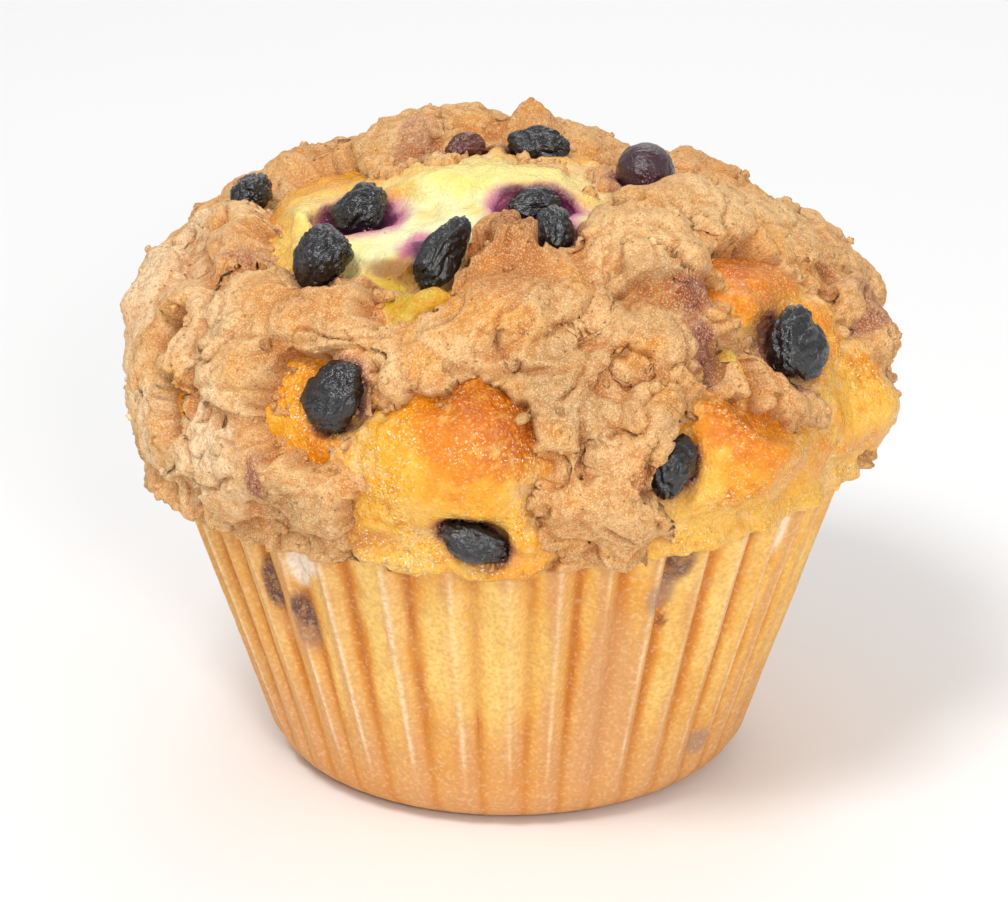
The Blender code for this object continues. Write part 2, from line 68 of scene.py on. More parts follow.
# Soft lights: name, place in metres, side of the square in metres, and power in watts
LIGHTS = (
    ("key", (-0.26, -0.46, 0.80), 0.24, 4.2),
    ("glint", (0.10, -0.66, 0.33), 0.11, 1.5),
    ("fill", (0.6, -0.6, 0.35), 0.6, 0.7),
    ("rim", (0.1, 0.6, 0.6), 0.5, 1.4),
)
ROOM_BRIGHTNESS = 0.56
FLOOR_HALF = 2.5
FLOOR_WHITE = (0.9, 0.9, 0.9, 1)

# Colours as they look in the photograph, red, green and blue up to 255
COLOURS = {
    "butter": (246, 190, 84),
    "cream": (244, 238, 184),
    "lemon": (250, 228, 130),
    "golden": (238, 166, 40),
    "amber": (222, 122, 4),
    "rust": (178, 82, 4),
    "brown": (128, 66, 28),
    "olive": (206, 168, 48),
    "sand": (224, 172, 112),
    "pale sand": (238, 198, 142),
    "sand in painted light": (252, 224, 184),
    "toast and shade": (190, 118, 60),
    "crevice shade": (140, 84, 44),
    "grey sand": (184, 142, 94),
    "pink sand": (226, 168, 122),
    "glaze": (222, 136, 40),
    "plum": (84, 26, 66),
    "jam": (112, 44, 50),
    "berry pink": (196, 92, 142),
    "berry": (17, 18, 21),
    "wine": (58, 24, 34),
    "mahogany": (96, 46, 28),
    "paper": (236, 176, 84),
    "paper light": (248, 206, 118),
    "paper orange": (214, 128, 34),
    "paper pink": (216, 156, 104),
    "paper crease shade": (188, 108, 44),
    "paper crest highlight": (250, 230, 196),
    "paper highlight white": (250, 240, 226),
    "stain": (92, 62, 60),
    "stain grey": (158, 130, 120),
}

# A painted patch: its middle, half its length down the dome, half its width, and strength
Patch = namedtuple("Patch", "azimuth tilt length width colour strength")

CRUST_PATCHES = (
    Patch(-70, 42, 14, 17, "butter", 0.9),
    Patch(-87, 50, 5, 6, "amber", 0.8),
    Patch(-105, 45, 8, 8, "golden", 0.7),
    Patch(-60, 6, 12, 18, "lemon", 1.0),
    Patch(40, 14, 10, 13, "lemon", 1.0),
    Patch(-18, 27, 7, 15, "cream", 1.0),
    Patch(-46, 37, 9, 10, "cream", 1.0),
    Patch(-24, 38, 8, 9, "cream", 1.0),
    Patch(16, 30, 8, 9, "cream", 0.9),
    Patch(-24, 49, 8.5, 8.0, "olive", 1.0),
    Patch(-34, 44, 1.8, 4.0, "brown", 0.6),
    Patch(-32, 35.5, 3.2, 3.0, "berry pink", 0.8),
    Patch(-28, 37, 2.4, 2.2, "plum", 0.9),
    Patch(-2, 72, 9.5, 12, "amber", 1.0),
    Patch(2, 73, 6.5, 7, "rust", 0.9),
    Patch(-4, 66, 4, 6.5, "rust", 0.75),
    Patch(-24, 74, 7, 4.5, "golden", 0.8),
    Patch(-18, 79, 6, 6, "golden", 0.7),
    Patch(-13, 86, 4, 12, "butter", 0.8),
    Patch(3, 82, 5, 5, "butter", 0.6),
    Patch(6, 92, 4, 7, "amber", 0.7),
    Patch(-28, 90, 2.2, 10, "toast and shade", 0.7),
    Patch(-29, 77, 5, 4, "amber", 0.7),
    Patch(36, 74, 8, 12, "amber", 0.9),
    Patch(38, 71, 5, 8, "rust", 0.55),
    Patch(26, 83, 7, 6, "butter", 0.8),
    Patch(35, 88, 3.2, 14, "butter", 0.9),
    Patch(44, 84, 6, 8, "golden", 0.7),
    Patch(58, 54, 7, 14, "amber", 1.0),
    Patch(64, 50, 4, 13, "rust", 0.8),
    Patch(76, 62, 7, 6, "rust", 0.6),
    Patch(66, 79, 6, 8, "butter", 0.7),
    Patch(72, 74, 3, 5, "amber", 0.7),
    Patch(-63, 72, 8, 7, "amber", 0.9),
    Patch(-60, 46, 7, 9, "lemon", 0.6),
    Patch(-64, 51, 3, 8, "butter", 0.6),
    Patch(40, 66, 4, 3, "lemon", 0.7),
    Patch(84, 80, 8, 8, "amber", 0.5),
    Patch(160, 20, 9, 20, "golden", 0.8),
    Patch(-150, 30, 7, 14, "golden", 0.7),
    Patch(150, 72, 12, 20, "amber", 0.7),
    Patch(-120, 74, 10, 16, "amber", 0.7),
    Patch(110, 60, 12, 14, "golden", 0.8),
    Patch(-170, 78, 8, 14, "amber", 0.7),
    Patch(2, 78.5, 3.6, 3.6, "pale sand", 0.6),
    Patch(-80, 40, 5, 6, "lemon", 0.5),
)

# The toasted knob above the middle, and the flat disc on its tip
PEAK = Patch(-1, 43, 9, 8, "toast and shade", 1.0)
PEAK_TIP = Patch(-2, 38, 7, 6, "toast and shade", 0.6)
TIP_RADIUS = 2.9
REAR_KNOB = Patch(171, 29, 6, 6, "toast and shade", 0.6)

CRUMBLE_PATCHES = (
    # Painted light: paler sand along the lit left side.
    Patch(-88, 70, 18, 16, "sand in painted light", 0.9),
    Patch(-58, 78, 12, 14, "sand in painted light", 0.85),
    Patch(-50, 58, 8, 9, "pale sand", 0.5),
    PEAK,
    Patch(-4, 56, 3.6, 4.0, "glaze", 0.55),
    Patch(2, 57, 3.0, 3.6, "glaze", 0.5),
    Patch(8, 67, 7, 8, "grey sand", 0.8),
    Patch(-15, 61, 5, 8, "pale sand", 0.6),
    Patch(21, 62, 2.6, 3.2, "glaze", 0.7),
    Patch(30, 44, 8, 9, "pale sand", 0.6),
    Patch(27, 51, 4, 6, "grey sand", 0.6),
    Patch(-40, 65, 2.6, 2.0, "brown", 0.45),
    Patch(-64, 69, 5.0, 4, "glaze", 0.9),
    Patch(-57, 77, 5.0, 3.6, "glaze", 0.9),
    Patch(-47, 58, 4.0, 5, "glaze", 0.5),
    Patch(-78, 72, 5, 4, "pink sand", 0.5),
    Patch(-74, 56, 7, 9, "pink sand", 0.6),
    Patch(-42, 56, 5, 9, "toast and shade", 0.35),
    Patch(-31, 86, 4, 9, "grey sand", 0.7),
    Patch(-44, 80, 6, 7, "pink sand", 0.3),
    Patch(70, 44, 8, 12, "pale sand", 0.5),
    Patch(66, 51, 2.2, 9, "glaze", 0.5),
    Patch(44, 69, 4, 6, "toast and shade", 0.5),
    Patch(17, 80, 12, 6, "sand", 0.5),
    Patch(13, 65, 3, 4, "toast and shade", 0.5),
    REAR_KNOB,
    Patch(-150, 56, 9, 20, "toast and shade", 0.4),
    Patch(150, 60, 9, 20, "toast and shade", 0.4),
)

# Juice stains, and painted light, paler sand on the lit left side. Painted last.
CRUMBLE_STAINS_AND_LIGHT = (
    Patch(-46, 80, 8, 8, "sand in painted light", 0.6),
    Patch(-56, 63, 8, 8, "sand in painted light", 0.4),
    Patch(-90, 66, 10, 9, "sand in painted light", 0.5),
    Patch(35, 54.5, 2.6, 4.2, "jam", 0.95),
    Patch(33, 63, 5.0, 2.6, "jam", 0.95),
    Patch(27, 54.5, 1.6, 4.2, "rust", 0.5),
    Patch(-66, 53, 2.0, 2.6, "jam", 0.5),
    Patch(-36, 82, 3.4, 1.4, "jam", 0.7),
    Patch(78, 67, 4.4, 2.4, "jam", 0.5),
    Patch(-135, 28, 2.0, 5, "jam", 0.4),
    Patch(74, 70, 1.6, 4.0, "jam", 0.7),
)

# Where no crumble lies: middle, half its length down the dome and half its width
Bare = namedtuple("Bare", "azimuth tilt length width")
BARE = (
    Bare(-9, 77, 12.0, 13.0),
    Bare(-5, 90, 5.0, 9.0),
    Bare(-19, 86, 6.0, 6.5),
    Bare(-30, 74, 6.5, 4.6),
    Bare(-35, 72, 8.5, 6.0),
    Bare(34, 80, 10.5, 12.0),
    Bare(30, 89, 6.5, 9.0),
    Bare(50, 87, 8.0, 9.0),
    Bare(39.5, 68, 5.0, 2.4),
    Bare(56, 56, 7.0, 11.0),
    Bare(60, 66, 6.5, 6.5),
    Bare(66, 80, 9.0, 9.0),
    Bare(-16, 18, 15.0, 17.0),
    Bare(-24, 38, 8.0, 12.0),
    Bare(10, 33, 9.0, 6.0),
    Bare(-24, 49, 7.6, 8.0),
    Bare(-84, 40, 9.0, 15.0),
    Bare(-64, 46, 7.5, 11.0),
    Bare(-118, 44, 7.0, 8.0),
    Bare(-64, 70, 6.5, 4.6),
    Bare(-58, 77, 6.5, 4.2),
    Bare(150, 70, 8.0, 6.0),
    Bare(-160, 74, 7.0, 8.0),
    Bare(178, 92, 4.0, 16.0),
    Bare(118, 88, 6.0, 12.0),
    Bare(-122, 88, 5.0, 12.0),
    Bare(124, 50, 7.0, 6.0),
    Bare(160, 20, 6.0, 9.0),
)

# Hollows between the lumps that are filled: middle, sizes and height above the cake
Filled = namedtuple("Filled", "azimuth tilt length width height")
FILLED = (
    Filled(9, 60, 11.0, 9.0, 2.8),
    Filled(20, 66, 9.0, 6.0, 3.0),
    Filled(24, 60, 8.0, 8.0, 3.0),
    Filled(13, 80, 8.0, 6.0, 3.0),
    Filled(22.3, 79, 8.0, 3.4, 5.6),
    Filled(-56, 62, 11.0, 10.0, 2.4),
    Filled(-50, 78, 8.0, 8.0, 2.4),
    Filled(-72, 76, 12.0, 9.0, 2.0),
    Filled(-84, 62, 10.0, 8.0, 2.0),
    Filled(-24, 60, 5.0, 6.0, 2.4),
    Filled(54, 40, 6.0, 9.0, 2.6),
    Filled(78, 52, 8.0, 10.0, 1.6),
    Filled(100, 62, 10.0, 10.0, 1.6),
    Filled(-150, 56, 16.0, 18.0, 2.4),
    Filled(150, 56, 14.0, 16.0, 2.2),
    Filled(178, 60, 18.0, 12.0, 2.6),
    Filled(-118, 66, 10.0, 10.0, 2.0),
)

# Holes and cracks in the crumble: middle, half their sizes and depth
DENTS = (
    Filled(58, 49.5, 1.9, 1.9, 3.0),
    Filled(13.8, 60, 1.2, 2.0, 2.2),
    Filled(10.5, 75, 4.2, 1.0, 2.6),
    Filled(2, 63.5, 0.8, 5.0, 1.8),
    Filled(-53, 70, 6.5, 1.1, 2.6),
    Filled(-33, 66, 1.0, 3.5, 1.8),
    Filled(22, 49, 6.0, 1.2, 2.0),
    Filled(28, 52, 1.0, 4.5, 1.8),
    Filled(-160, 52, 1.2, 7.0, 2.2),
    Filled(150, 66, 1.0, 6.0, 2.2),
)

# How far the solids are swollen and then shrunk again, which fills narrow gaps
CLOSING = 1.1
CRUMBLE_COAT = 0.15  # thickness of the crumble over the cake, in millimetres
BARE_DEPTH = 4.0  # how far the coat is sunk into the cake where the crust shows
CORE_SHARE = 0.955  # the coat is cut off inside the cake shrunk to this share

# Loose grains: their usual radius in millimetres, and how much it varies
GRAIN_RADIUS = 0.36
GRAIN_SPREAD = 0.38

# Berries whose juice has run: how wide a wet ring each has, in millimetres, and how strong
JUICE = {
    "blueberry_long": (0.9, 0.8),
    "blueberry_top": (2.0, 1.0),
    "blueberry_beside_peak": (2.2, 0.7),
    "blueberry_upper_left": (2.0, 0.9),
    "blueberry_left": (0.9, 0.4),
    "blueberry_round": (2.2, 0.6),
    "blueberry_right": (1.5, 0.7),
    "blueberry_lip": (1.0, 0.6),
}
JUICE_ELSEWHERE = (0.9, 0.6)

# How much deeper than in the solids the berries lie, in millimetres
SUNK_ELSEWHERE = 0.3
SUNK = {
    "blueberry_beside_peak": 1.2,
    "blueberry_upper_left": 0.9,
    "blueberry_long": 0.9,
    "blueberry_top": 0.8,
}

# Marks on the paper, stains, a paler patch at the front and painted highlights on the upper edge:
# azimuth, height, half its width, half its height, colour, strength
PAPER_STAINS_AND_HIGHLIGHTS = (
    (-47.5, 30.5, 1.2, 3.8, "stain", 0.9),
    (-40.5, 27.0, 1.6, 4.2, "stain", 0.95),
    (-44.0, 24.5, 3.4, 3.0, "paper pink", 0.6),
    (29.5, 36.5, 2.0, 3.0, "stain", 0.8),
    (27.5, 32.5, 2.2, 2.6, "stain grey", 0.7),
    (29.0, 28.4, 0.7, 1.0, "brown", 0.8),
    (19.0, 18.0, 3.6, 14.0, "paper pink", 0.8),
    (48.0, 8.0, 1.6, 1.8, "stain grey", 0.7),
    (-4.0, 26.0, 8.0, 11.0, "paper light", 0.6),
    # Painted highlights where the upper edge of the paper catches the light.
    (-39.0, 34.5, 1.6, 2.8, "paper highlight white", 0.9),
    (-36.0, 35.5, 1.5, 1.8, "paper highlight white", 0.8),
    (54.0, 37.0, 1.2, 4.0, "paper highlight white", 0.8),
    (66.0, 38.5, 1.2, 3.2, "paper highlight white", 0.6),
    (150.0, 20.0, 3.0, 4.0, "stain", 0.6),
    (-140.0, 28.0, 2.4, 3.0, "stain", 0.6),
)

# The cap's lower edge and its higher side, as in the solids. Angles are in degrees.
LIP_WAVE = 0.9
LIP_TILT = 94.0
LIP_REACH = 14.0  # how far from the lip its wave still moves the cap
HIGH_SIDE = 78.0  # azimuth of the higher side
LIP_RISE = 5.6
CASE_RISE = 4.0  # in millimetres

# The edge that hangs over the paper: its tilt, half its width, and how far out and down it goes
LIP_EDGE = 94.4
LIP_BAND = 2.3
LIP_DROOP = (2.3, 1.5)

# The paper case, as in its solid, in millimetres
BASE_RADIUS = 28.0
WALL_LEAN = 0.345
CORNER_RADIUS = 7.5
PAPER_TOP = 38.4
PLEATS = 40
PLEAT_DEPTH_TOP = 2.1
PLEAT_DEPTH_FOOT = 0.25
PLEAT_COLUMNS = 14  # points across each pleat
CASE_ROWS = 56
PAPER_THICK = 0.25  # a little less than the solid's

# Specks in a material: size in millimetres, the noise where they start and where they
# are full, their linear colour, and their strength
Specks = namedtuple("Specks", "size start full colour strength")
GLAZE = (
    Specks(0.7, 0.52, 0.64, (0.70, 0.25, 0.00, 1), 0.5),
    Specks(0.55, 0.46, 0.36, (0.96, 0.56, 0.08, 1), 0.5),
    Specks(0.3, 0.56, 0.68, (0.42, 0.13, 0.00, 1), 0.5),
    # Painted highlights: tiny near-white glints of crystals on the glaze.
    Specks(0.26, 0.64, 0.69, (1.0, 0.93, 0.80, 1), 0.9),
)
SAND = (
    Specks(0.6, 0.52, 0.66, (0.50, 0.25, 0.09, 1), 0.4),
    Specks(0.22, 0.47, 0.36, (0.98, 0.76, 0.50, 1), 0.4),
    Specks(0.2, 0.54, 0.66, (0.38, 0.17, 0.06, 1), 0.5),
    Specks(0.6, 0.70, 0.77, (0.12, 0.04, 0.01, 1), 0.6),
)
FIBRES = (
    Specks(0.5, 0.5, 0.7, (0.62, 0.28, 0.08, 1), 0.4),
    Specks(1.4, 0.5, 0.7, (0.66, 0.34, 0.12, 1), 0.35),
    Specks(0.5, 0.46, 0.30, (0.98, 0.80, 0.52, 1), 0.2),
)
BLOOM = (Specks(0.5, 0.6, 0.75, (0.05, 0.04, 0.06, 1), 0.5),)

# Roughness of a clear coat and of unglazed spots, and how light scatters under a surface
COAT_ROUGH = 0.12
MATT = 0.65
SCATTER = (1.0, 0.45, 0.2)
SCATTER_DEPTH = 2.0


def scrambled(cells, seed):
    """A random whole number for each cell."""
    x, y, z = cells[..., 0], cells[..., 1], cells[..., 2]
    mixed = (x * 73856093) ^ (y * 19349663) ^ (z * 83492791) ^ (seed * 50331653)
    mixed = ((mixed ^ (mixed >> 13)) * 1274126177) & 0x7FFFFFFF
    return ((mixed ^ (mixed >> 15)) * 2246822519) & 0x3FFFFFFF


def random_vectors(cells, seed):
    """A random vector for each cell, each part from -1 to 1."""
    mixed = scrambled(cells, seed)
    parts = [(mixed >> shift) & 1023 for shift in (0, 10, 20)]
    return np.stack(parts, axis=-1) / 511.5 - 1


def smooth_noise(points, size, seed):
    """Gradient noise with features of about this size in millimetres, about -0.8 to 0.8."""
    spot = points / (size * MM)
    cell = np.floor(spot).astype(np.int64)
    inside = spot - cell
    fade = inside**3 * (inside * (inside * 6 - 15) + 10)
    total = np.zeros(len(points))
    for corner in np.ndindex(2, 2, 2):
        slope = random_vectors(cell + corner, seed)
        weight = np.where(np.array(corner) == 1, fade, 1 - fade).prod(axis=1)
        total += ((inside - corner) * slope).sum(axis=1) * weight
    return total


def cobbles(points, size, seed):
    """Distance to the nearest of scattered points, in cells of this size in millimetres."""
    spot = points / (size * MM)
    cell = np.floor(spot).astype(np.int64)
    nearest = np.full(len(points), FAR)
    for step in np.ndindex(3, 3, 3):
        neighbour = cell + step - 1
        centre = neighbour + 0.5 + 0.42 * random_vectors(neighbour, seed)
        distance = np.sqrt(((spot - centre) ** 2).sum(axis=1))
        nearest = np.minimum(nearest, distance)
    return nearest


def eased(low, high, value):
    """0 below low and 1 above high, with a soft change between."""
    share = np.clip((value - low) / (high - low), 0, 1)
    return share * share * (3 - 2 * share)


def points_of(mesh):
    flat = np.empty(len(mesh.vertices) * 3)
    mesh.vertices.foreach_get("co", flat)
    return flat.reshape(-1, 3)


def normals_of(mesh):
    flat = np.empty(len(mesh.vertices) * 3)
    mesh.vertex_normals.foreach_get("vector", flat)
    return flat.reshape(-1, 3)


def move_points(mesh, points):
    mesh.vertices.foreach_set("co", points.ravel())
    mesh.update()


def directions_at(azimuth, tilt):
    azimuth, tilt = math.radians(azimuth), math.radians(tilt)
    return np.array(
        (
            math.sin(tilt) * math.sin(azimuth),
            -math.sin(tilt) * math.cos(azimuth),
            math.cos(tilt),
        )
    )


def rays_to(points):
    """Unit vectors from the heart to these points."""
    rays = points - HEART
    return rays / np.linalg.norm(rays, axis=1)[:, None]


def high_side(azimuth):
    """1 at the azimuth where lip and case are highest, fading to 0 a quarter turn away."""
    return np.clip(np.cos(azimuth - math.radians(HIGH_SIDE)), 0, 1) ** 2


def level_tilts(points):
    """Tilt in degrees, as if the cap's lip ran level round the cake."""
    rays = points - HEART
    tilt = np.degrees(np.arccos(rays[:, 2] / np.linalg.norm(rays, axis=1)))
    azimuth = np.arctan2(rays[:, 0], -rays[:, 1])
    near_lip = np.clip(1 - np.abs(tilt - LIP_TILT) / LIP_REACH, 0, 1)
    wave = LIP_WAVE * (1 + np.cos(2 * azimuth))
    return tilt + (wave + LIP_RISE * high_side(azimuth)) * near_lip


def drooped(points):
    """The points, with the cap's lower edge drawn outwards and down over the paper."""
    near = np.exp(-(((level_tilts(points) - LIP_EDGE) / LIP_BAND) ** 2))
    near *= 1 + 0.5 * smooth_noise(points, 7.0, 18) + 0.3 * smooth_noise(points, 2.4, 19)
    sideways = points * (1, 1, 0) / np.linalg.norm(points[:, :2], axis=1)[:, None]
    out, down = LIP_DROOP
    return points + (sideways * out - (0, 0, down)) * (near * MM)[:, None]


def bare_share(points):
    """0 in the middle of a bare place, 1 at its ragged edge and more where crumble lies."""
    ragged = 0.5 * smooth_noise(points, 4.5, 71) + 0.3 * smooth_noise(points, 1.6, 72)
    return np.min([patch_share(points, place) for place in BARE], axis=0) + ragged


def patch_share(points, patch):
    """0 at a patch's middle and 1 at its edge."""
    outwards = directions_at(patch.azimuth, patch.tilt)
    down = directions_at(patch.azimuth, patch.tilt + 90)
    across = np.cross(down, outwards)
    rays = points - HEART
    along = rays @ down / (patch.length * MM)
    aside = rays @ across / (patch.width * MM)
    behind = rays @ outwards < 0
    return np.hypot(along, aside) + FAR * behind


class Paint:
    """Colours for a mesh's points, laid over each other and then stored."""

    def __init__(self, points, colour):
        self.points = points
        self.colours = np.tile(np.array(COLOURS[colour]) / 255, (len(points), 1))

    def lay(self, colour, amount):
        amount = np.clip(amount, 0, 1)[:, None]
        self.colours += (np.array(COLOURS[colour]) / 255 - self.colours) * amount

    def patches(self, patches, wobble):
        for patch in patches:
            share = patch_share(self.points, patch) + wobble
            self.lay(patch.colour, patch.strength * eased(1.15, 0.45, share))

    def store(self, mesh):
        linear = np.clip(self.colours, 0, 1) ** 2.2
        layer = mesh.color_attributes.new("paint", "FLOAT_COLOR", "POINT")
        with_alpha = np.ones((len(linear), 4))
        with_alpha[:, :3] = linear
        layer.data.foreach_set("color", with_alpha.ravel())
        mesh.color_attributes.active_color = layer


def store_value(mesh, name, values):
    layer = mesh.attributes.new(name, "FLOAT", "POINT")
    layer.data.foreach_set("value", values)


def new_object(name, mesh, surface):
    made = bpy.data.objects.new(name, mesh)
    bpy.context.scene.collection.objects.link(made)
    mesh.materials.clear()
    mesh.materials.append(surface)
    mesh.shade_smooth()
    return made


def settled(obj):
    """The object's mesh with its modifiers worked in. The object is removed."""
    graph = bpy.context.evaluated_depsgraph_get()
    mesh = bpy.data.meshes.new_from_object(obj.evaluated_get(graph))
    bpy.data.objects.remove(obj)
    return mesh


def joined(nodes, swell=0.0):
    """A bmesh of these solids, swollen."""
    shell = bmesh.new()
    for node in nodes:
        shell.from_mesh(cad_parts[node].data)
    bmesh.ops.remove_doubles(shell, verts=shell.verts, dist=1e-6)
    bmesh.ops.recalc_face_normals(shell, faces=shell.faces)
    shell.normal_update()
    for vertex in shell.verts:
        vertex.co += vertex.normal * swell
    return shell


CAKE_SKIN = BVHTree.FromBMesh(joined(["cake"]))


def fused(nodes, voxel, swell, rounding):
    """One even mesh around these solids."""
    shell = joined(nodes, swell)
    mesh = bpy.data.meshes.new("fused")
    shell.to_mesh(mesh)
    shell.free()
    obj = bpy.data.objects.new("fused", mesh)
    bpy.context.scene.collection.objects.link(obj)
    rounded = obj.modifiers.new("rounded", "SUBSURF")
    rounded.levels = 1
    even = obj.modifiers.new("even", "REMESH")
    even.mode = "VOXEL"
    even.voxel_size = voxel
    soft = obj.modifiers.new("soft", "SMOOTH")
    soft.iterations = rounding
    return settled(obj)


def without(mesh, core):
    """The parts of a closed mesh that lie outside a closed core."""
    obj = bpy.data.objects.new("outside", mesh)
    bpy.context.scene.collection.objects.link(obj)
    cut = obj.modifiers.new("cut", "BOOLEAN")
    cut.operation = "DIFFERENCE"
    cut.solver = "MANIFOLD"
    cutter = bpy.data.objects.new("core", core)
    bpy.context.scene.collection.objects.link(cutter)
    cut.object = cutter
    left = settled(obj)
    bpy.data.objects.remove(cutter)
    return left


def distances(points, tree):
    """How far each point is from the nearest face of a tree, in millimetres."""
    return np.array([tree.find_nearest(Vector(point))[3] for point in points]) / MM


def raised(mesh, points, rounds):
    """How far each point stands out from the mean of those around it, in millimetres."""
    ends = np.empty(len(mesh.edges) * 2, int)
    mesh.edges.foreach_get("vertices", ends)
    first, second = ends.reshape(-1, 2).T
    count = np.bincount(ends, minlength=len(points))[:, None]
    mean = points.copy()
    for _ in range(rounds):
        total = np.stack(
            [
                np.bincount(first, mean[second, i], len(points))
                + np.bincount(second, mean[first, i], len(points))
                for i in range(3)
            ],
            axis=1,
        )
        mean = (mean + total) / (count + 1)
    return ((points - mean) * normals_of(mesh)).sum(axis=1) / MM


class Berry:
    """Where a blueberry is: its middle, and half its size along each of its own axes."""

    def __init__(self, node):
        self.node = node
        corners = points_of(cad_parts[node].data)
        spread = corners - corners.mean(0)
        self.axes = np.linalg.eigh(spread.T @ spread)[1].T[::-1]
        if np.linalg.det(self.axes) < 0:
            self.axes[2] *= -1
        along = spread @ self.axes.T
        self.sizes = (along.max(0) - along.min(0)) / 2
        self.middle = corners.mean(0) + (along.max(0) + along.min(0)) / 2 @ self.axes
        inwards = (HEART - self.middle) / np.linalg.norm(HEART - self.middle)
        self.middle += inwards * SUNK.get(node, SUNK_ELSEWHERE) * MM

    def away(self, points):
        """About how far each point is from the berry's skin, in millimetres."""
        share = np.linalg.norm((points - self.middle) @ self.axes.T / self.sizes, axis=1)
        return (share - 1) * self.sizes.mean() / MM


def juice(paint, berries, wobble, strength, pink):
    """Purple rings where the berries have bled."""
    for berry in berries:
        width, amount = JUICE.get(berry.node, JUICE_ELSEWHERE)
        away = berry.away(paint.points) + wobble * width
        paint.lay("berry pink", pink * amount * eased(width * 1.7, width * 0.5, away))
        paint.lay("plum", strength * amount * eased(width, width * 0.15, away))
        paint.lay("wine", strength * eased(0.45, 0.0, away))


def make_crust(surface, berries):
    """The cake: a blistered, glazed skin that is pale where it tore open at the top."""
    mesh = fused(["cake"], CRUST_VOXEL, 0.0, 5)
    points = points_of(mesh)
    outwards = normals_of(mesh)
    tilt = level_tilts(points)
    share = bare_share(points)
    bare = eased(1.15, 0.55, share)
    on_cap = eased(101, 95, tilt)
    swells = 0.8 * smooth_noise(points, 5.5, 11) + 0.45 * smooth_noise(points, 2.6, 12)
    ripples = smooth_noise(points, 1.3, 13)
    blisters = eased(0.45, 0.10, cobbles(points, 1.5, 14))
    few = eased(-0.2, 0.3, smooth_noise(points, 6.0, 15))
    out = 0.2 + swells + 0.26 * ripples + 0.25 * blisters * few
    torn = smooth_noise(points, 3.2, 16)
    creamy = np.zeros(len(points))
    for patch in CRUST_PATCHES:
        if patch.colour == "cream":
            creamy = np.maximum(creamy, eased(1.15, 0.8, patch_share(points, patch) + 0.3 * torn))
    out += creamy * (-1.7 + 0.45 * smooth_noise(points, 1.4, 17) + 0.8 * torn)
    out = -1.0 + (out + 1.0) * bare
    move_points(mesh, drooped(points + outwards * (out * on_cap * MM)[:, None]))

    points = points_of(mesh)
    wobble = 0.55 * smooth_noise(points, 4.5, 21) + 0.3 * smooth_noise(points, 1.7, 22)
    fine = smooth_noise(points, 0.9, 23)
    mottle = smooth_noise(points, 2.0, 26) + 0.7 * smooth_noise(points, 1.1, 27)
    baked = eased(-0.1, 0.5, smooth_noise(points, 7.0, 24) + 0.3 * fine)
    paint = Paint(points, "golden")
    paint.lay("amber", 0.75 * baked)
    paint.lay("butter", 0.8 * eased(86, 93, tilt + 5 * wobble))
    paint.patches(CRUST_PATCHES, wobble + 0.25 * mottle)
    low = eased(35, 60, tilt)
    paint.lay("amber", 0.5 * eased(0.1, 0.6, mottle) * (1 - creamy) * low * eased(92, 84, tilt))
    paint.lay("rust", 0.4 * eased(0.3, 0.8, mottle + wobble) * low)
    paint.lay("lemon", 0.35 * eased(0.15, 0.6, -mottle) * (1 - creamy))
    paint.lay("pale sand", 0.75 * eased(0.62, 0.95, share + 0.5 * fine) * (1 - creamy))
    paint.lay("pink sand", 0.6 * eased(94.5, 96.0, tilt + 2 * wobble))
    juice(paint, berries, wobble, 1.0, 0.2 + 0.7 * creamy)
    paint.store(mesh)
    shiny = 1 - 0.45 * creamy - eased(92, 97, tilt) - 0.6 * eased(0.7, 1.0, share)
    store_value(mesh, "gloss", np.clip(shiny, 0, 1))
    # Where the glaze specks show, with their painted glints.
    specks_and_glints = eased(-0.3, 0.4, smooth_noise(points, 5.0, 28) + 0.4 * wobble)
    store_value(mesh, "speckled", (1 - creamy) * (0.2 + 0.8 * low) * (0.3 + 0.7 * specks_and_glints))
    return new_object("crust", mesh, surface)


def billows(points, size, seed):
    """Rounded knobs with sharp valleys between them, about -0.4 to 0.8."""
    return 2.2 * np.abs(smooth_noise(points, size, seed)) - 0.4


def tip_share(points, tip, wobble):
    """1 on the flat top of the peak and 0 off it."""
    away = np.linalg.norm((points - tip)[:, :2], axis=1) / (TIP_RADIUS * MM)
    below = (tip[2] - points[:, 2]) / MM
    return eased(1.10, 0.94, away + wobble) * eased(4.0, 2.5, below)


def pulled(points, size, seed):
    """Vectors of smooth noise, to bend another pattern."""
    return np.stack([smooth_noise(points, size, seed + i * 100) for i in range(3)], axis=1)


def crumble_cover(points, lumps, ragged):
    """1 where crumble lies and 0 on bare crust."""
    bare = bare_share(points)
    near_lump = eased(2.0, 1.1, distances(points, BVHTree.FromBMesh(joined(lumps))) + ragged)
    cover = np.maximum(near_lump * eased(0.60, 0.74, bare), eased(0.92, 1.08, bare))
    return cover * eased(97.0, 95.6, level_tilts(points) + 1.2 * ragged)


def with_hollows(points, cover, ragged):
    """The points with the hollows between lumps filled, and holes and cracks pressed in."""
    rays = rays_to(points)
    above = distances(points, CAKE_SKIN)
    for place in FILLED:
        wanted = place.height * eased(1.3, 0.6, patch_share(points, place) + 0.25 * ragged)
        gain = np.maximum(wanted - above, 0) * cover
        points = points + rays * (gain * MM)[:, None]
        above = above + gain
    for place in DENTS:
        loss = place.height * eased(1.3, 0.4, patch_share(points, place) + 0.35 * ragged)
        points = points - rays * (loss * cover * MM)[:, None]
    return points


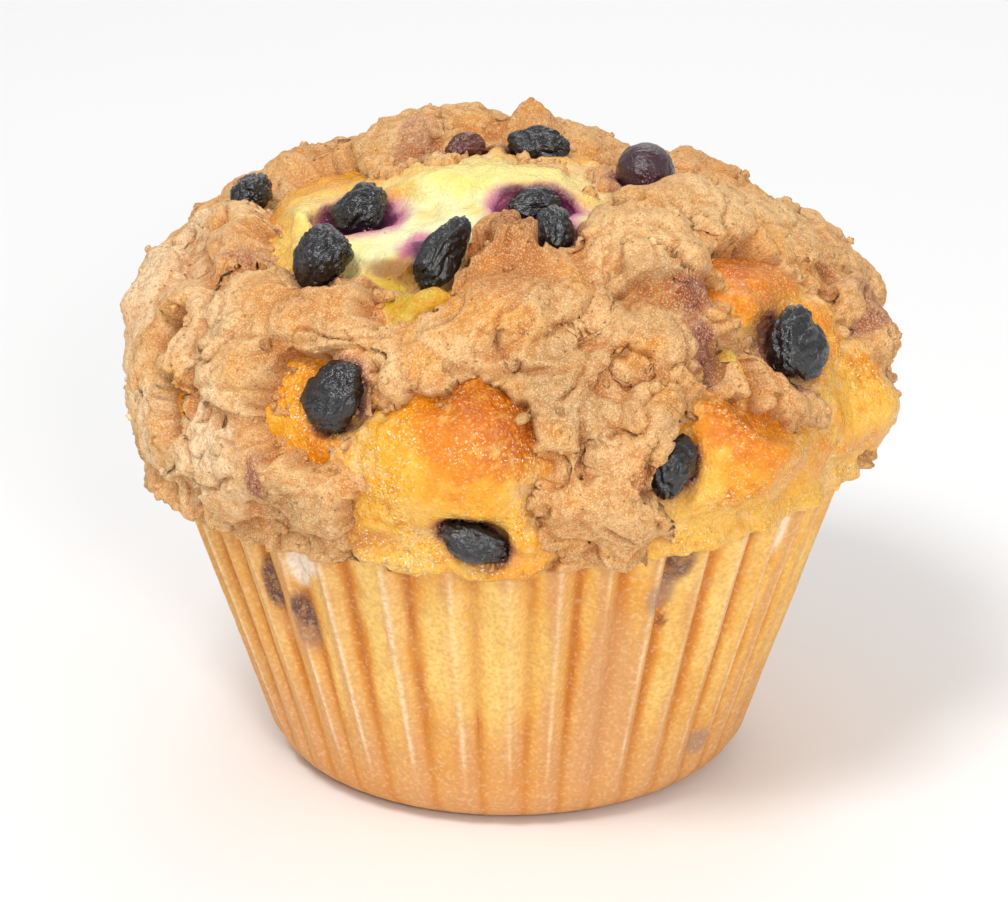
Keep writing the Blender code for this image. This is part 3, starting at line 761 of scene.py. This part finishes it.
def with_ledges(points, normals, cover):
    """The points with ledges, knobs and cracks, fewer of them on the toasted knobs."""
    bent = points + 0.9 * MM * pulled(points, 4.5, 33)
    knob = np.minimum(patch_share(points, PEAK), patch_share(points, REAR_KNOB))
    calm = 1 - 0.75 * eased(1.3, 0.8, knob)
    ledges = eased(-0.035, 0.035, smooth_noise(bent, 8.0, 34)) - 0.5
    crack = eased(0.055, 0.0, np.abs(smooth_noise(bent, 7.5, 36)))
    crack *= eased(-0.15, 0.1, smooth_noise(points, 9.0, 37))
    out = 0.6 * ledges + 0.5 * billows(bent, 6.0, 38) + 0.3 * billows(bent, 2.7, 39) - 1.1 * crack
    return points + normals * (cover * out * calm * MM)[:, None]


def with_cobbles(points, normals, cover):
    """The points with the fine grain of the crumble."""
    coarse = 0.35 + 0.65 * eased(-0.2, 0.3, smooth_noise(points, 5.0, 40))
    out = 0.46 * (0.5 - cobbles(points, 1.05, 41)) + 0.16 * smooth_noise(points, 0.8, 42)
    return points + normals * (cover * coarse * out * MM)[:, None]


def shrunken_cake():
    """A mesh of the cake, shrunk towards the heart."""
    core = joined(["cake"])
    about_heart = Matrix.Translation(-Vector(HEART))
    bmesh.ops.scale(core, vec=(CORE_SHARE,) * 3, verts=core.verts, space=about_heart)
    mesh = bpy.data.meshes.new("core")
    core.to_mesh(mesh)
    core.free()
    return mesh


def make_crumble(surface, berries):
    """The crumble: a sandy coat and lumps that run into each other, cracked and ledged."""
    lumps = sorted(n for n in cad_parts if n.startswith("crumble"))
    mesh = fused(["cake", *lumps], CRUMBLE_VOXEL, CLOSING * MM, 4)
    points = points_of(mesh) - normals_of(mesh) * (CLOSING - CRUMBLE_COAT) * MM
    ragged = 1.1 * smooth_noise(points, 3.4, 31) + 0.6 * smooth_noise(points, 1.4, 32)
    cover = crumble_cover(points, lumps, ragged)
    points = with_hollows(points, cover, ragged)
    move_points(mesh, points)
    points = with_ledges(points, normals_of(mesh), cover)
    around_tip = points[patch_share(points, PEAK_TIP) < 1]
    tip = around_tip[around_tip[:, 2].argmax()] - np.array((0, 0, 0.5)) * MM
    flat = tip_share(points, tip, 0.06 * ragged)
    points[:, 2] += (tip[2] - points[:, 2]) * flat
    move_points(mesh, points)
    points = with_cobbles(points, normals_of(mesh), cover)
    sunk = rays_to(points) * ((1 - cover) * BARE_DEPTH * MM)[:, None]
    move_points(mesh, drooped(points) - sunk)
    mesh = without(mesh, shrunken_cake())
    paint_crumble(mesh, tip, berries)
    return new_object("crumble", mesh, surface)


def paint_crumble(mesh, tip, berries):
    """Sandy tones with painted shade in the hollows and cracks and painted light on the fine tips,
    darker on the toasted knobs and round the berries.
    """
    points = points_of(mesh)
    paint = Paint(points, "sand")
    wobble = 0.5 * smooth_noise(points, 3.0, 43) + 0.3 * smooth_noise(points, 1.2, 44)
    tone = smooth_noise(points, 6.5, 45) + 0.5 * smooth_noise(points, 2.4, 46)
    paint.lay("pale sand", 0.8 * eased(0.0, 0.5, tone))
    paint.lay("toast and shade", 0.4 * eased(0.0, 0.6, -tone))
    warm = smooth_noise(points, 4.2, 48) + 0.5 * smooth_noise(points, 1.8, 49)
    paint.lay("glaze", 0.45 * eased(0.15, 0.6, warm))
    paint.lay("grey sand", 0.5 * eased(0.05, 0.5, smooth_noise(points, 8.0, 47)))
    paint.patches(CRUMBLE_PATCHES, wobble)
    near_crust = eased(1.5, 1.0, bare_share(points)) * eased(98, 92, level_tilts(points))
    paint.lay("glaze", 0.55 * near_crust * eased(-0.25, 0.35, warm))
    knobs = raised(mesh, points, 18)
    grit = raised(mesh, points, 2)
    paint.lay("toast and shade", 0.5 * eased(0.10, 0.45, knobs) * eased(-0.3, 0.3, wobble))
    # Painted shade: darker in the hollows, darkest in the deepest cracks.
    paint.lay("toast and shade", 0.7 * eased(-0.25, -0.7, knobs))
    paint.lay("crevice shade", 0.7 * eased(-0.55, -1.0, knobs))
    paint.lay("brown", 0.6 * tip_share(points, tip, 0.2 * wobble))
    # Juice stains, and painted light on the left side.
    paint.patches(CRUMBLE_STAINS_AND_LIGHT, wobble)
    # Painted light on the fine tips and painted shade in the fine pits.
    paint.lay("pale sand", 0.4 * eased(0.01, 0.05, grit))
    paint.lay("toast and shade", 0.45 * eased(-0.015, -0.06, grit))
    juice(paint, berries, wobble, 0.6, 0.25)
    paint.store(mesh)


def make_berry(berry, number, surface):
    """A blueberry that has shrivelled like a raisin."""
    ball = bmesh.new()
    bmesh.ops.create_icosphere(ball, subdivisions=BERRY_ROUNDS, radius=MM)
    mesh = bpy.data.meshes.new(berry.node + "_skin")
    ball.to_mesh(mesh)
    ball.free()
    unit = points_of(mesh) / MM
    stretch = (0.9, 2.0, 2.0) if number % 2 else (1.3, 1.6, 1.6)
    bent = (unit + 0.35 * pulled(unit * MM, 0.9, 51 + number)) * stretch * MM
    folds = np.abs(smooth_noise(bent, 0.95, 52 + number))
    creases = np.abs(smooth_noise(bent * 2.3, 0.95, 53 + number))
    dents = smooth_noise(unit * MM, 0.95, 54 + number)
    plump = berry.node == "blueberry_round"
    depth = 0.15 if plump else 1.0
    reach = 0.97 - 0.10 * depth * eased(0.22, 0.0, folds) - 0.07 * depth * eased(0.18, 0.0, creases)
    reach += 0.30 * depth * dents + 0.035 * smooth_noise(unit * MM, 0.2, 55)
    points = berry.middle + (unit * reach[:, None] * berry.sizes) @ berry.axes
    move_points(mesh, points)
    skins = {"blueberry_round": "wine", "blueberry_dark_top": "mahogany"}
    paint = Paint(points, skins.get(berry.node, "berry"))
    paint.lay("stain grey", 0.10 * eased(0.1, 0.5, smooth_noise(points, 1.6, 56)))
    paint.lay("plum", (0.5 if plump else 0.10) * eased(0.0, 0.5, smooth_noise(points, 2.2, 57)))
    paint.store(mesh)
    made = new_object(berry.node + "_skin", mesh, surface)
    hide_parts(berry.node)
    return made


def make_grains(surface, crumble, count):
    """Loose grains of crumble, most of them along the edges of the lumps."""
    chance = np.random.default_rng(7)
    source = crumble.data
    points, outwards = points_of(source), normals_of(source)
    facing = (outwards * rays_to(points)).sum(axis=1)
    tried = chance.choice(np.flatnonzero(facing > 0.1), count * 8, replace=False)
    above = distances(points[tried], CAKE_SKIN)
    weight = np.where(above < 0.9, 1.0, 0.10)
    picked = chance.choice(tried, count, replace=False, p=weight / weight.sum())
    tints = np.empty(len(points) * 4)
    source.color_attributes["paint"].data.foreach_get("color", tints)
    tints = tints.reshape(-1, 4)[picked, :3] ** (1 / 2.2)
    grain = bmesh.new()
    bmesh.ops.create_icosphere(grain, subdivisions=2, radius=1)
    shape = np.array([v.co[:] for v in grain.verts])
    faces = np.array([[v.index for v in f.verts] for f in grain.faces])
    grain.free()
    all_points, all_tints = [], []
    for place, outward, tint in zip(points[picked], outwards[picked], tints):
        size = chance.lognormal(math.log(GRAIN_RADIUS), GRAIN_SPREAD) * MM
        lumpy = 1 + 0.3 * chance.standard_normal((len(shape), 1)).clip(-1, 1)
        squeeze = chance.uniform(0.7, 1.15, 3)
        all_points.append(place + outward * size * 0.1 + shape * lumpy * squeeze * size)
        all_tints.append(np.tile(tint * chance.uniform(0.92, 1.05), (len(shape), 1)))
    all_faces = np.concatenate([faces + i * len(shape) for i in range(count)])
    mesh = bpy.data.meshes.new("grains")
    mesh.from_pydata(np.concatenate(all_points), [], all_faces)
    paint = Paint(np.concatenate(all_points), "sand")
    paint.colours = np.concatenate(all_tints)
    paint.store(mesh)
    return new_object("grains", mesh, surface)


def case_profile(rows):
    """Radius and height of the case's ridges, evenly spaced from the base's edge up."""
    lean = math.atan(WALL_LEAN)
    turn = math.pi / 2 - lean
    cut_back = CORNER_RADIUS * math.tan(turn / 2)
    corner = [
        (
            BASE_RADIUS - cut_back + CORNER_RADIUS * math.sin(a),
            CORNER_RADIUS - CORNER_RADIUS * math.cos(a),
        )
        for a in np.linspace(0, turn, rows // 4)
    ]
    foot = corner[-1][1]
    wall = [
        (BASE_RADIUS + WALL_LEAN * height, height)
        for height in np.linspace(foot, PAPER_TOP, rows - rows // 4 + 1)[1:]
    ]
    return np.array(corner + wall)


def pleat_azimuth(step):
    """Azimuth in radians of a point this many pleats round the case, as in its solid."""
    even = 2 * np.pi * step / PLEATS
    return even + 0.050 * np.sin(3 * even + 1.0) + 0.022 * np.sin(7 * even + 2.0)


def make_case(surface):
    """The paper case: folded pleats that fade into a smooth rounded foot."""
    columns = PLEATS * PLEAT_COLUMNS
    chance = np.random.default_rng(3)
    step = np.arange(columns) / PLEAT_COLUMNS
    pleat = step.astype(int)
    skew = chance.uniform(0.58, 0.78, PLEATS)[pleat]
    deep = chance.uniform(0.7, 1.15, PLEATS)[pleat]
    phase = step % 1
    crest = np.where(phase < skew, phase / skew, (1 - phase) / (1 - skew))
    folded = 0.7 * (1 - crest) + 0.3 * (1 - np.sin(np.pi / 2 * crest))
    azimuth = pleat_azimuth(step)
    profile = case_profile(CASE_ROWS)
    radius, height = profile[:, :1], profile[:, 1:]
    share = np.clip(height / PAPER_TOP, 0, 1)
    depth = (PLEAT_DEPTH_FOOT + (PLEAT_DEPTH_TOP - PLEAT_DEPTH_FOOT) * share**0.8) * deep
    depth = depth * eased(0, CORNER_RADIUS * 0.8, height)
    rise = CASE_RISE * high_side(azimuth) * share**2
    reach = radius + WALL_LEAN * rise - depth * folded
    x, y = reach * np.sin(azimuth), -reach * np.cos(azimuth)
    z = height + rise
    points = np.stack([x, y, z], axis=-1).reshape(-1, 3) * MM
    creases = 0.10 * smooth_noise(points * (1, 1, 0.5), 4.0, 61)
    creases += 0.05 * smooth_noise(points, 1.5, 62)
    lift = eased(0, CORNER_RADIUS, points[:, 2] / MM)
    away = points * (1, 1, 0) / np.linalg.norm(points[:, :2], axis=1)[:, None]
    points = points + away * (creases * lift * MM)[:, None]
    middle = np.array([[0, 0, points[:columns, 2].mean()]])
    below = np.arange(CASE_ROWS * columns).reshape(CASE_ROWS, columns)
    right = np.roll(below, -1, axis=1)
    quads = np.stack([below[:-1], right[:-1], right[1:], below[1:]], axis=-1).reshape(-1, 4)
    hub = len(points)
    fan = [(hub, right[0, i], below[0, i]) for i in range(columns)]
    mesh = bpy.data.meshes.new("paper")
    mesh.from_pydata(np.concatenate([points, middle]), [], quads.tolist() + fan)

    crests = np.append(np.tile(crest, CASE_ROWS), 0.5)
    narrow = np.append(np.tile(phase > skew, CASE_ROWS), False)
    tones = np.append(np.tile(chance.uniform(-1, 1, PLEATS)[pleat], CASE_ROWS), 0)
    paint_case(mesh, np.concatenate([points, middle]), crests, narrow, tones)
    made = new_object("paper", mesh, surface)
    thick = made.modifiers.new("thick", "SOLIDIFY")
    thick.thickness = PAPER_THICK * MM
    thick.offset = -1
    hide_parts("paper_case")
    return made


def paint_case(mesh, points, crests, narrow, tones):
    """Fat and crumb seen through the paper, pale on the crests and orange in the creases; painted
    shade, brown in the creases and tan on each pleat's narrow side; a painted highlight along each
    crest.
    """
    tall = points[:, 2] / MM
    paint = Paint(points, "paper")
    streaks = smooth_noise(points * (1, 1, 0.22), 2.6, 63) + 0.5 * smooth_noise(points, 3.5, 64)
    upper = eased(6, 22, tall)
    paint.lay("paper light", 0.9 * eased(-0.4, 0.5, streaks + 0.5 * tones) * upper)
    paint.lay("paper pink", 0.75 * eased(22, 4, tall + 8 * streaks))
    paint.lay("paper pink", 0.8 * eased(0.60, 0.85, crests + 0.3 * streaks - 0.2 * tones) * ~narrow)
    # Painted shade: pinkish tan on the narrow side of each pleat.
    paint.lay("paper pink", (0.9 - 0.5 * upper) * narrow)
    # Orange in the creases: partly crumb seen through the paper, partly painted shade.
    paint.lay("paper orange", (0.3 + 0.6 * upper) * eased(0.45, 0.1, crests + 0.2 * streaks))
    # Painted shade: a thin brown line in each crease.
    paint.lay("paper crease shade", (0.35 + 0.5 * upper) * eased(0.24, 0.04, crests))
    # Painted highlight: a thin pale line along each crest.
    paint.lay("paper crest highlight", 0.8 * eased(0.90, 1.0, crests) * eased(4, 12, tall))
    paint.lay("paper orange", 0.25 * eased(0.0, 0.5, smooth_noise(points, 9.0, 65)))
    angle = np.degrees(np.arctan2(points[:, 0], -points[:, 1]))
    # Stains, and painted highlights on the upper edge.
    for where, level, wide, high, colour, strength in PAPER_STAINS_AND_HIGHLIGHTS:
        aside = np.radians(angle - where) * (BASE_RADIUS + WALL_LEAN * tall) / wide
        share = np.hypot(aside, (tall - level) / high) + 0.4 * streaks
        paint.lay(colour, strength * eased(1.2, 0.7, share))
    paint.store(mesh)


def surface_of(name, rough, shine, grain, bump, specks, coat=0.0, thin=0.0, glazed=False):
    """A painted, speckled material.

    rough is its roughness on low and high spots, shine its reflection, grain the size of
    its relief in millimetres, coat a clear layer and thin how much light scatters in it.
    A glazed one takes its gloss and its share of specks from values stored in the mesh.
    """
    made = bpy.data.materials.new(name)
    made.use_nodes = True
    nodes, links = made.node_tree.nodes, made.node_tree.links
    shader = nodes["Principled BSDF"]
    place = nodes.new("ShaderNodeTexCoord").outputs["Object"]

    def stored(attribute):
        node = nodes.new("ShaderNodeAttribute")
        node.attribute_name = attribute
        return node.outputs

    def texture(size, detail):
        noise = nodes.new("ShaderNodeTexNoise")
        noise.inputs["Scale"].default_value = 1 / (size * MM)
        noise.inputs["Detail"].default_value = detail
        links.new(place, noise.inputs["Vector"])
        return noise.outputs["Fac"]

    def ranged(value, low, high, to_low, to_high):
        node = nodes.new("ShaderNodeMapRange")
        node.inputs["From Min"].default_value = low
        node.inputs["From Max"].default_value = high
        node.inputs["To Min"].default_value = to_low
        node.inputs["To Max"].default_value = to_high
        links.new(value, node.inputs["Value"])
        return node.outputs["Result"]

    def calculated(operation, first, second):
        node = nodes.new("ShaderNodeMath")
        node.operation = operation
        links.new(first, node.inputs[0])
        links.new(second, node.inputs[1])
        return node.outputs[0]

    def tinted(share, colour, tint):
        mix = nodes.new("ShaderNodeMix")
        mix.data_type = "RGBA"
        links.new(share, mix.inputs["Factor"])
        links.new(colour, mix.inputs["A"])
        mix.inputs["B"].default_value = tint
        return mix.outputs["Result"]

    colour = stored("paint")["Color"]
    for speck in specks:
        dots = ranged(texture(speck.size, 1), speck.start, speck.full, 0.0, speck.strength)
        if glazed:
            dots = calculated("MULTIPLY", dots, stored("speckled")["Fac"])
        colour = tinted(dots, colour, speck.colour)
    links.new(colour, shader.inputs["Base Color"])

    roughness = ranged(texture(grain * 2.2, 3), 0.3, 0.7, *rough)
    if glazed:
        unglazed = ranged(stored("gloss")["Fac"], 0, 1, MATT, 0.0)
        roughness = calculated("MAXIMUM", roughness, unglazed)
    links.new(roughness, shader.inputs["Roughness"])
    shader.inputs["Specular IOR Level"].default_value = shine

    relief = nodes.new("ShaderNodeBump")
    relief.inputs["Strength"].default_value = bump
    relief.inputs["Distance"].default_value = grain * MM
    links.new(texture(grain, 6), relief.inputs["Height"])
    links.new(relief.outputs["Normal"], shader.inputs["Normal"])
    if coat:
        links.new(relief.outputs["Normal"], shader.inputs["Coat Normal"])
        shader.inputs["Coat Weight"].default_value = coat
        shader.inputs["Coat Roughness"].default_value = COAT_ROUGH
    if thin:
        shader.inputs["Subsurface Weight"].default_value = thin
        shader.inputs["Subsurface Radius"].default_value = SCATTER
        shader.inputs["Subsurface Scale"].default_value = SCATTER_DEPTH * MM
    return made


def soft_light(name, place, size, power):
    lamp = bpy.data.lights.new(name, "AREA")
    lamp.size = size
    lamp.energy = power
    made = bpy.data.objects.new(name, lamp)
    made.location = place
    made.rotation_euler = (AIM - Vector(place)).to_track_quat("-Z", "Y").to_euler()
    bpy.context.scene.collection.objects.link(made)


def make_studio():
    """A pale floor, soft lights and a white room."""
    corners = ((-1, -1), (1, -1), (1, 1), (-1, 1))
    ground = bpy.data.meshes.new("floor")
    ground.from_pydata([(x * FLOOR_HALF, y * FLOOR_HALF, 0) for x, y in corners], [], [(0, 1, 2, 3)])
    white = bpy.data.materials.new("white ground")
    white.use_nodes = True
    shader = white.node_tree.nodes["Principled BSDF"]
    shader.inputs["Base Color"].default_value = FLOOR_WHITE
    shader.inputs["Roughness"].default_value = 0.9
    floor = new_object("floor", ground, white)
    for light in LIGHTS:
        soft_light(*light)
    world = bpy.data.worlds.new("white room")
    bpy.context.scene.world = world
    world.use_nodes = True
    background = world.node_tree.nodes["Background"]
    background.inputs["Color"].default_value = (1, 1, 1, 1)
    background.inputs["Strength"].default_value = ROOM_BRIGHTNESS


def make_camera():
    lens = bpy.data.cameras.new("camera")
    lens.lens = LENS
    lens.sensor_width = SENSOR
    lens.clip_start = 0.01
    camera = bpy.data.objects.new("camera", lens)
    bpy.context.scene.collection.objects.link(camera)
    back = Vector((0, -math.cos(CAMERA_RISE), math.sin(CAMERA_RISE)))
    camera.location = AIM + CAMERA_DISTANCE * back
    camera.rotation_euler = (-back).to_track_quat("-Z", "Y").to_euler()
    bpy.context.scene.camera = camera


def main():
    crust_look = surface_of(
        "crust", (0.10, 0.34), 0.2, 0.45, 0.8, GLAZE, coat=0.4, thin=0.03, glazed=True
    )
    crumble_look = surface_of("crumble", (0.7, 0.95), 0.2, 0.3, 1.0, SAND, thin=0.03)
    berry_look = surface_of("berry skin", (0.06, 0.22), 0.6, 0.4, 0.5, BLOOM, coat=0.4)
    paper_look = surface_of("greaseproof paper", (0.55, 0.75), 0.25, 0.5, 0.35, FIBRES, thin=0.05)

    berries = [Berry(n) for n in sorted(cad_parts) if n.startswith("blueberry")]
    crust = make_crust(crust_look, berries)
    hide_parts("cake")
    crumble = make_crumble(crumble_look, berries)
    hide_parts(*[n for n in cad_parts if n.startswith("crumble")])
    grains = make_grains(crumble_look, crumble, GRAINS)
    paper = make_case(paper_look)
    pieces = [crust, crumble, grains, paper]
    for number, berry in enumerate(berries):
        skin = make_berry(berry, number, berry_look)
        pieces.append(skin)
    for piece in pieces:
        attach(piece, "root")
    make_studio()
    make_camera()
    bpy.context.scene.view_settings.view_transform = "Standard"


main()
